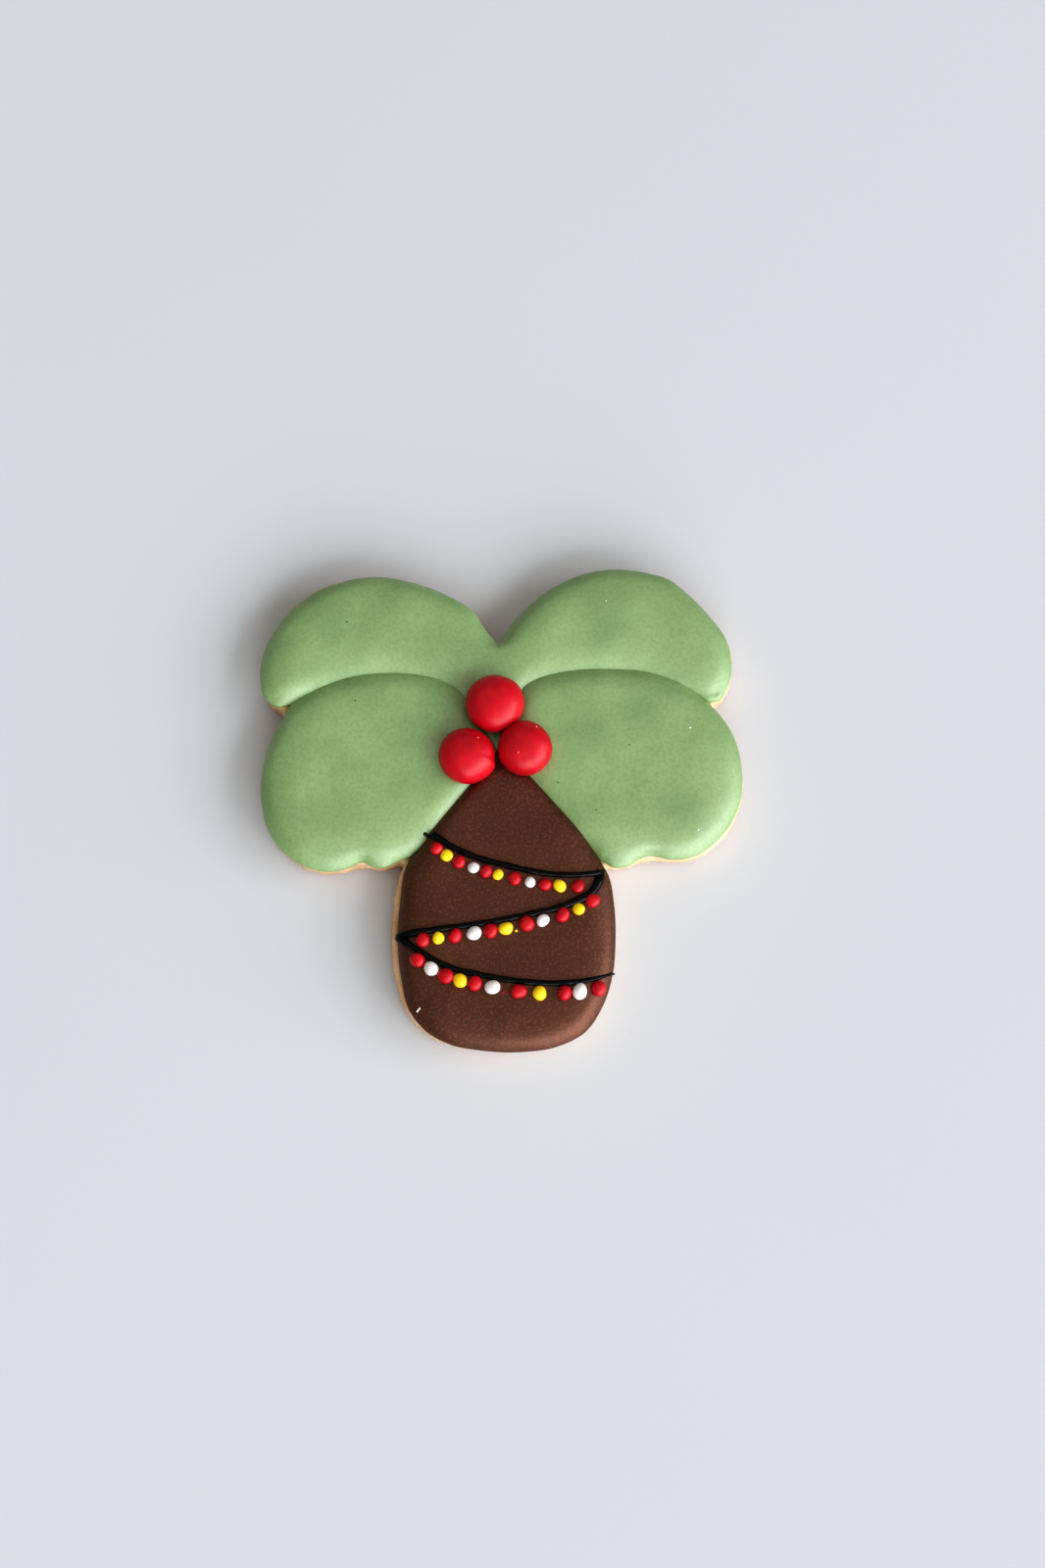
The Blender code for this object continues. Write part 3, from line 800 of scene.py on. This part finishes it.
def biscuit_profile(top):
    """The section of the dough's wall from the underside up, as (inset, height)."""
    shoulder = top - TOP_EDGE_RADIUS
    side_height = shoulder - BISCUIT_BULGE_HEIGHT
    under_edge = [
        (UNDER_EDGE_WIDTH * (1 - out), BISCUIT_BULGE_HEIGHT * (1 - down))
        for out, down in arc(90, 0, UNDER_EDGE_STEPS)
    ]
    side = [(SIDE_LEAN * share, BISCUIT_BULGE_HEIGHT + side_height * share) for share in SIDE_SHARES]
    top_edge = [
        (SIDE_LEAN + TOP_EDGE_RADIUS * (1 - out), shoulder + TOP_EDGE_RADIUS * up)
        for out, up in arc(0, 90, TOP_EDGE_STEPS)
    ]
    return under_edge + side + top_edge


def biscuit_wall(loop, top):
    """The rings of the dough's wall, uneven with crumbs down to just above the underside."""
    normals = outward(loop)
    rings = []
    for inset, z in biscuit_profile(top):
        place = level(loop - normals * inset, z)
        crumbs = ripples(place, CRUMB_RELIEF, seed=3)[:, None]
        place[:, :2] += normals * crumbs * min(1.0, z / CRUMB_FADE_HEIGHT)
        rings.append(place)
    return rings


def browning_and_shade(points):
    """How brown the dough is: most near the baking sheet, where it browned, and a little more at the left,
    which is painted shade on the side away from the lights.
    """
    foot = np.clip(1 - points[:, 2] / BROWN_FOOT_HEIGHT, 0, 1) * BROWN_FOOT_SHARE
    # Painted shade: the left side is darkened as it lies away from the lights
    left = PAINTED_SHADE_LEFT_SHARE * smooth_step(-points[:, 0] / PAINTED_SHADE_LEFT_REACH)
    return np.clip(foot + left, 0, 1)


def make_biscuit(top, material):
    """The dough: a crumbly wall with round edges, and a flat underside with shallow pits."""
    rings = biscuit_wall(biscuit_loop(), top)
    count = len(rings[0])
    points = [np.concatenate(rings)]
    faces = wall(len(rings), count)
    total = count * len(rings)
    last = len(rings) - 1
    for number, relief, inward in ((0, UNDERSIDE_RELIEF, 1), (last, CRUMB_RELIEF, -1)):
        edge = rings[number]
        loop = edge[:, :2]
        flat, triangles = filled(loop, grid_inside(loop, BISCUIT_GRID_PITCH, BISCUIT_GRID_MARGIN))
        inner = flat[count:]
        depth = np.abs(ripples(inner, relief, seed=5 + number))
        points.append(level(inner, edge[0, 2] + inward * depth))
        first = number * count
        faces += [
            [first + corner if corner < count else total + corner - count for corner in triangle]
            for triangle in triangles
        ]
        total += len(inner)
    points = np.concatenate(points)
    return mesh_object("biscuit_dough", points, faces, material, {"browning_and_shade": browning_and_shade(points)})


# The icing


def mottles_and_painted_shade(points):
    """How far the green is toward its darker colour at each point: its uneven patches, and painted shade at
    the left tip and the left foot.
    """
    mottle_and_shade = np.zeros(len(points))
    for place, radius in MOTTLES_AND_PAINTED_SHADE:
        mottle_and_shade += MOTTLE_AND_SHADE_STRENGTH * np.exp(-(((points[:, :2] - place) ** 2).sum(1)) / radius**2)
    return mottle_and_shade


class Icing:
    """The whole iced surface as one height field, so that neighbouring areas meet without a step."""

    def __init__(self, biscuit_top, frond_top):
        self.base = biscuit_top
        self.tops = {"frond": frond_top + ICING_DOME, "trunk": TRUNK_TOP + ICING_DOME}
        self.lines = outline_stretches(OUTLINE_PITCH) | inner_lines(OUTLINE_PITCH)
        self.saddle = smooth_line(SADDLE_LINE, OUTLINE_PITCH)
        self.surfaces = []

    def edge_values(self, name, node):
        """The heights of the edge and of its shoulder and the rounding's width, along one line."""
        rim = np.array((ICING_LIP, SHOULDER_HEIGHT, RIM_ROUNDING))
        line = self.lines[name]
        if name not in VALLEYS:
            return np.tile(rim, (len(line), 1))
        valley, width = VALLEYS[name]
        share = smooth_step(np.arange(len(line)) * OUTLINE_PITCH / TIP_REACH)[:, None]
        return rim + share * ((valley, valley, width[node]) - rim)

    def edge(self, node):
        """One area's loop, set back a little from the outline where it is free, and its values."""
        loop = closed_loop(*(self.lines[name][::step] for name, step in AREAS[node]))
        values = closed_loop(*(self.edge_values(name, node)[::step] for name, step in AREAS[node]))
        shared = np.minimum.reduce([distance_to(loop, self.lines[name]) for name in VALLEYS])
        return loop - outward(loop) * ICING_TRIM * np.clip(shared, 0, 1)[:, None], values

    def height(self, points, kind, loop, values):
        """The top of the icing at each point of one area."""
        thickness = self.tops[kind] - self.base
        inward, (lip, shoulder, width) = feel_edge(points, loop, values)
        top = lip + (shoulder - lip) * sloped(inward, SHOULDER_WIDTH, SHOULDER_POWER)
        top += (thickness - shoulder) * sloped(inward, width, ROUNDING_POWER)
        if kind == "frond":
            valley = np.exp(-((distance_to(points, self.saddle) / SADDLE_WIDTH) ** 2))
            top -= SADDLE_DEPTH * valley * np.clip(inward / width, 0, 1)
        settle = np.clip(inward / SETTLING, 0, 1)
        return self.base + top + settle * ripples(points, ICING_RELIEF, seed=11)

    def surface(self, places):
        """The height of the built icing at each place."""
        down = Vector((0, 0, -1))
        heights = []
        for x, y in places:
            start = Vector((x, y, RAY_HEIGHT))
            hits = (tree.ray_cast(start, down)[0] for tree in self.surfaces)
            heights.append(max((hit.z for hit in hits if hit), default=self.base))
        return np.array(heights)

    def build(self, name, node, kind, material):
        """One area: its top, the lip that turns down over the biscuit, and a flat underside."""
        loop, values = self.edge(node)
        rings = [moved(loop, -distance) for distance in EDGE_RINGS]
        grid = grid_inside(loop, GRID_PITCH, margin=EDGE_RINGS[-1] + GRID_PITCH / 3)
        inner = np.concatenate([*rings, grid])
        flat, triangles = filled(loop, inner)
        top = level(flat, self.height(flat, kind, loop, values))
        self.surfaces.append(BVHTree.FromPolygons([Vector(point) for point in top], triangles))
        normals = outward(loop)
        lip = [level(loop - normals * inset, self.base + rise) for inset, rise in LIP_RINGS]
        points = np.concatenate([top, *lip])
        count = len(loop)
        starts = [0, *range(len(top), len(points), count)]
        faces = [list(triangle) for triangle in triangles]
        for upper, lower in zip(starts, starts[1:]):
            faces += band(lower, upper, count)
        faces.append(list(range(starts[-1], len(points))))
        # The darker patches for the green, two of them painted shade
        attributes = {"mottle_and_shade": mottles_and_painted_shade(points)} if kind == "frond" else None
        return mesh_object(name, points, faces, material, attributes)


# The berries


def berry_heights(name):
    """The heights of a berry's foot, its widest ring and its top."""
    lowest, highest = (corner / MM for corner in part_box(name))
    return lowest.z - BERRY_SINK, lowest.z + BERRY_WIDEST_HEIGHT, highest.z


def berry_profile(foot, widest, top):
    """A berry's section from the foot up, as (share of the radius, height)."""
    under = [
        (BERRY_FOOT_SHARE + (1 - BERRY_FOOT_SHARE) * out, widest + (widest - foot) * up)
        for out, up in arc(-90, 0, BERRY_FOOT_STEPS)
    ]
    dome = [
        (out, widest + (top - widest) * up)
        for out, up in arc(0, BERRY_DOME_END_DEGREES, BERRY_DOME_STEPS)
    ]
    return under + dome[1:]


def pulled_corner(name, degrees):
    """How far a berry's outline stands out where its sugar was drawn to a point, if it was."""
    if name not in PULLED_CORNER:
        return np.zeros(len(degrees))
    past = degrees - PULLED_CORNER[name]
    reach = np.where(past < 0, *PULLED_REACH)
    return PULLED_RISE * np.clip(1 - np.abs(past) / reach, 0, 1)


def press_flat(points, name):
    """Moves a berry's points back from the plane between it and each of the others."""
    centre, radius = BERRIES[name]
    for other, (other_centre, other_radius) in BERRIES.items():
        if other == name:
            continue
        toward = np.subtract(other_centre, centre)
        reach = np.linalg.norm(toward)
        toward = toward / reach
        limit = (reach + radius - other_radius - BERRY_GAP) / 2
        over = (points[:, :2] - centre) @ toward - limit
        points[:, :2] -= np.clip(over, 0, None)[:, None] * toward


def make_berry(name, seed, material):
    """A dome narrowed at the foot, settled into the icing and pressed flat where it touches another."""
    centre, radius = BERRIES[name]
    foot, widest, top = berry_heights(name)
    around = circle(BERRY_SIDES)
    outline = radius + pulled_corner(name, np.degrees(np.arctan2(around[:, 1], around[:, 0])))
    profile = berry_profile(foot, widest, top)
    points = np.concatenate(
        [level(np.array(centre) + around * outline[:, None] * out, z) for out, z in profile]
    )
    away = points - (*centre, widest)
    away /= np.linalg.norm(away, axis=1, keepdims=True)
    points += away * ripples(points, BERRY_RELIEF, seed)[:, None]
    press_flat(points, name)
    faces = wall(len(profile), BERRY_SIDES)
    faces += [list(range(BERRY_SIDES)), list(range(len(points) - BERRY_SIDES, len(points)))]
    dress(mesh_object(f"sugar_{name}", points, faces, material), "red_sugar", name)


def make_berry_specks(material):
    """Pale grains on the domes, as one piece."""
    draw = np.random.default_rng(seed=23)
    specks = []
    for name, offsets in BERRY_SPECKS.items():
        centre, radius = BERRIES[name]
        _, widest, top = berry_heights(name)
        for offset in offsets:
            height = (top - widest) * math.sqrt(1 - (math.hypot(*offset) / radius) ** 2)
            place = (centre[0] + offset[0], centre[1] + offset[1], widest + height)
            specks.append(blob(place, BERRY_SPECK_RADIUS, BERRY_SPECK_SQUASH, draw, FLECK_SEGMENTS))
    dress(mesh_object("berry_specks", *joined(specks), material), "red_sugar")


# The garland and the small marks


def swept(path, radii):
    """Points and faces of a round line along a path of (x, y, z), with the radius at each point of it."""
    along = np.gradient(path, axis=0)
    along /= np.linalg.norm(along, axis=1, keepdims=True)
    across = np.cross(along, (0, 0, 1))
    across /= np.linalg.norm(across, axis=1, keepdims=True)
    up = np.cross(across, along)
    around = circle(STRAND_SIDES)
    points = np.concatenate([
        place + radius * (around[:, :1] * a + around[:, 1:] * b)
        for place, radius, a, b in zip(path, radii, across, up)
    ])
    faces = wall(len(path), STRAND_SIDES)
    faces += [list(range(STRAND_SIDES)), list(range(len(points) - STRAND_SIDES, len(points)))]
    return points, faces


def end_rounding(count, radius, pitch):
    """Shares of the radius along a line, rounding off to almost nothing at both ends."""
    steps = np.minimum(np.arange(count), np.arange(count)[::-1]) * pitch / radius
    return np.sqrt(1 - (1 - np.clip(steps, THINNEST_END, 1)) ** 2)


def joined(parts):
    """Several (points, faces) as one."""
    points, faces, start = [], [], 0
    for some_points, some_faces in parts:
        points.append(some_points)
        faces += [[corner + start for corner in face] for face in some_faces]
        start += len(some_points)
    return np.concatenate(points), faces


def blob(place, radius, squash, draw, segments):
    """A slightly irregular ball of sugar, squashed in height, as (points, faces)."""
    model = bmesh.new()
    bmesh.ops.create_uvsphere(model, u_segments=segments, v_segments=segments // 2, radius=1.0)
    points = np.array([tuple(vertex.co) for vertex in model.verts])
    faces = [[vertex.index for vertex in face.verts] for face in model.faces]
    model.free()
    turn = draw.uniform(0, math.pi)
    stretch_along = np.array((math.cos(turn), math.sin(turn), 0))
    points += np.outer(points @ stretch_along, stretch_along) * draw.uniform(0, BLOB_UNEVENNESS)
    relief = ((BLOB_WAVELENGTH, BLOB_UNEVENNESS / 2),)
    points *= 1 + ripples(points, relief, seed=draw.integers(BLOB_SEEDS))[:, None]
    points[:, 2] *= squash
    return points * radius + place, faces


def make_garland_line(icing, material):
    """The piped strands, as one piece."""
    parts = []
    for strand in STRANDS:
        line = smooth_line(strand["line"], STRAND_PITCH)
        radii = spread(strand["radii"], len(line))
        radii = radii * end_rounding(len(line), radii.mean(), STRAND_PITCH)
        along = np.arange(len(line))[:, None] * STRAND_PITCH
        radii = radii * (1 + ripples(along, STRAND_RELIEF, seed=31))
        parts.append(swept(level(line, icing.surface(line) + STRAND_RISE), radii))
    dress(mesh_object("garland_line", *joined(parts), material), "black_icing")


def make_pearls(icing, materials):
    """The pearls below the strands, as one piece for each colour."""
    draw = np.random.default_rng(seed=7)
    pearls = {colour: [] for colour in PEARL_COLOURS.values()}
    for strand in STRANDS:
        line = smooth_line(strand["line"], STRAND_PITCH)
        left_to_right = line[np.argsort(line[:, 0])]
        along = np.array(strand["pearls"])
        below = np.interp(along, left_to_right[:, 0], left_to_right[:, 1]) - strand["drop"]
        places = np.column_stack([along, below])
        for place, height, letter in zip(places, icing.surface(places), strand["colours"]):
            colour = PEARL_COLOURS[letter]
            radius = strand["radius"] * PEARL_SIZE[colour] * draw.uniform(*PEARL_SIZE_SPREAD)
            squash = draw.uniform(*PEARL_SQUASH)
            centre = (*place, height + radius * PEARL_RISE)
            pearls[colour].append(blob(centre, radius, squash, draw, PEARL_SEGMENTS))
    for colour, parts in pearls.items():
        piece = mesh_object(f"pearls_{colour}", *joined(parts), materials[colour])
        dress(piece, f"{colour}_sugar")


def make_flecks(icing, materials):
    """Crumbs, specks, and dark flat flecks of painted shade for the pits, in the places where the cookie has
    them.
    """
    draw = np.random.default_rng(seed=17)
    start, end = np.array(RED_DUST_LINE)
    dust = [
        (start + (end - start) * share + draw.normal(0, RED_DUST_SCATTER, 2), draw.uniform(*RED_DUST_RADIUS))
        for share in np.linspace(0, 1, RED_DUST_COUNT)
    ]
    # Each piece's name, its flecks, how high they are for their width, their material and their slot
    groups = (
        ("white_specks", WHITE_SPECKS, 0.5, "white", "white_sugar"),
        # Flat dark flecks of painted shade where the icing has small pits
        ("pit_shades", PAINTED_PIT_SHADES, 0.15, "pit_shade", "green_icing"),
        ("yellow_crumb", (YELLOW_CRUMB,), 0.8, "yellow", "yellow_sugar"),
        ("red_dust", dust, 0.4, "red", "red_sugar"),
    )
    for name, flecks, squash, material, slot in groups:
        parts = []
        for place, radius in flecks:
            height = icing.surface([place])[0]
            parts.append(blob((*place, height), radius, squash, draw, FLECK_SEGMENTS))
        dress(mesh_object(name, *joined(parts), materials[material]), slot)


def make_strokes(icing, materials):
    """The stray tick of white and the smears of black at the ends of the garland."""
    for name, strokes, colour, slot in (
        ("white_tick", (WHITE_TICK,), "white", "white_sugar"),
        ("black_smears", BLACK_SMEARS, "black", "black_icing"),
    ):
        radius = STROKE_RADIUS[colour]
        parts = []
        for anchors in strokes:
            line = smooth_line(anchors, STROKE_PITCH)
            radii = radius * end_rounding(len(line), radius, STROKE_PITCH)
            parts.append(swept(level(line, icing.surface(line)), radii))
        dress(mesh_object(name, *joined(parts), materials[colour]), slot)


# The studio


def make_floor():
    """A wide pale floor, almost even."""
    material, tree, shader = new_material("floor", roughness=0.9, specular=0.1)
    colour = blend(tree, noise(tree, size=150.0), *FLOOR)
    connect(tree, shader, colour, bump(tree, noise(tree, size=0.6), depth=0.01))
    half = FLOOR_SIZE / 2
    corners = [(-half, -half, 0), (half, -half, 0), (half, half, 0), (-half, half, 0)]
    mesh = bpy.data.meshes.new("floor")
    mesh.from_pydata([Vector(corner) * MM for corner in corners], [], [(0, 1, 2, 3)])
    mesh.materials.append(material)
    floor = bpy.data.objects.new("floor", mesh)
    bpy.context.scene.collection.objects.link(floor)


def make_key(name, azimuth_degrees, power):
    """A large soft window of light, low over the floor."""
    light = bpy.data.lights.new(name, "AREA")
    light.shape = "RECTANGLE"
    light.size = KEY_WIDTH * MM
    light.size_y = KEY_HEIGHT * MM
    light.energy = power
    light.color = linear(KEY_COLOUR)[:3]
    azimuth, height = math.radians(azimuth_degrees), math.radians(KEY_HEIGHT_DEGREES)
    direction = Vector(
        (math.cos(height) * math.cos(azimuth), math.cos(height) * math.sin(azimuth), math.sin(height))
    )
    key = bpy.data.objects.new(name, light)
    key.location = direction * KEY_DISTANCE * MM
    key.rotation_mode = "QUATERNION"
    key.rotation_quaternion = direction.to_track_quat("Z", "Y")
    bpy.context.scene.collection.objects.link(key)


def make_sky():
    """Soft light from all round, stronger the higher it comes from."""
    world = bpy.context.scene.world or bpy.data.worlds.new("sky")
    bpy.context.scene.world = world
    world.use_nodes = True
    tree = world.node_tree
    sky = tree.nodes["Background"]
    sky.inputs["Color"].default_value = linear(SKY_COLOUR)
    look = add(tree, "ShaderNodeTexCoord").outputs["Generated"]
    height = add(tree, "ShaderNodeSeparateXYZ", {"Vector": look}).outputs["Z"]
    strength = {"Value": height, "To Min": SKY_AT_HORIZON, "To Max": SKY_OVERHEAD}
    tree.links.new(add(tree, "ShaderNodeMapRange", strength).outputs["Result"], sky.inputs["Strength"])


def make_camera():
    """A camera above the cookie, tilted a little, that looks in from the foot of the trunk."""
    lens = bpy.data.cameras.new("camera")
    lens.lens = CAMERA_LENS
    lens.sensor_width = CAMERA_SENSOR
    camera = bpy.data.objects.new("camera", lens)
    camera.location = Vector(CAMERA_PLACE) * MM
    camera.rotation_euler = (math.radians(CAMERA_TILT_DEGREES), 0, 0)
    bpy.context.scene.collection.objects.link(camera)
    bpy.context.scene.camera = camera


def main():
    """Builds the cookie round the frame's solids, then its studio."""
    for existing in list(bpy.data.objects):
        bpy.data.objects.remove(existing, do_unlink=True)
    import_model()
    biscuit_top, frond_top = (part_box(name)[1].z / MM for name in ("biscuit", "icing_lower_left"))
    materials = make_materials()
    icing = Icing(biscuit_top, frond_top)

    dress(make_biscuit(biscuit_top, materials["dough"]), "biscuit", "biscuit")
    for name, node in FRONDS.items():
        dress(icing.build(name, node, "frond", materials["green"]), "green_icing", node)
    trunk = icing.build("trunk", "icing_trunk", "trunk", materials["brown"])
    dress(trunk, "brown_icing", "icing_trunk")
    for number, name in enumerate(BERRIES):
        make_berry(name, BERRY_FIRST_SEED + number, materials["berry"])
    make_berry_specks(materials["berry_speck"])
    make_garland_line(icing, materials["black"])
    make_pearls(icing, materials)
    make_flecks(icing, materials)
    make_strokes(icing, materials)

    make_floor()
    for name, azimuth, power in KEYS:
        make_key(name, azimuth, power)
    make_sky()
    make_camera()
    bpy.context.scene.view_settings.view_transform = "Standard"
    bpy.context.scene.view_settings.look = "High Contrast"


main()
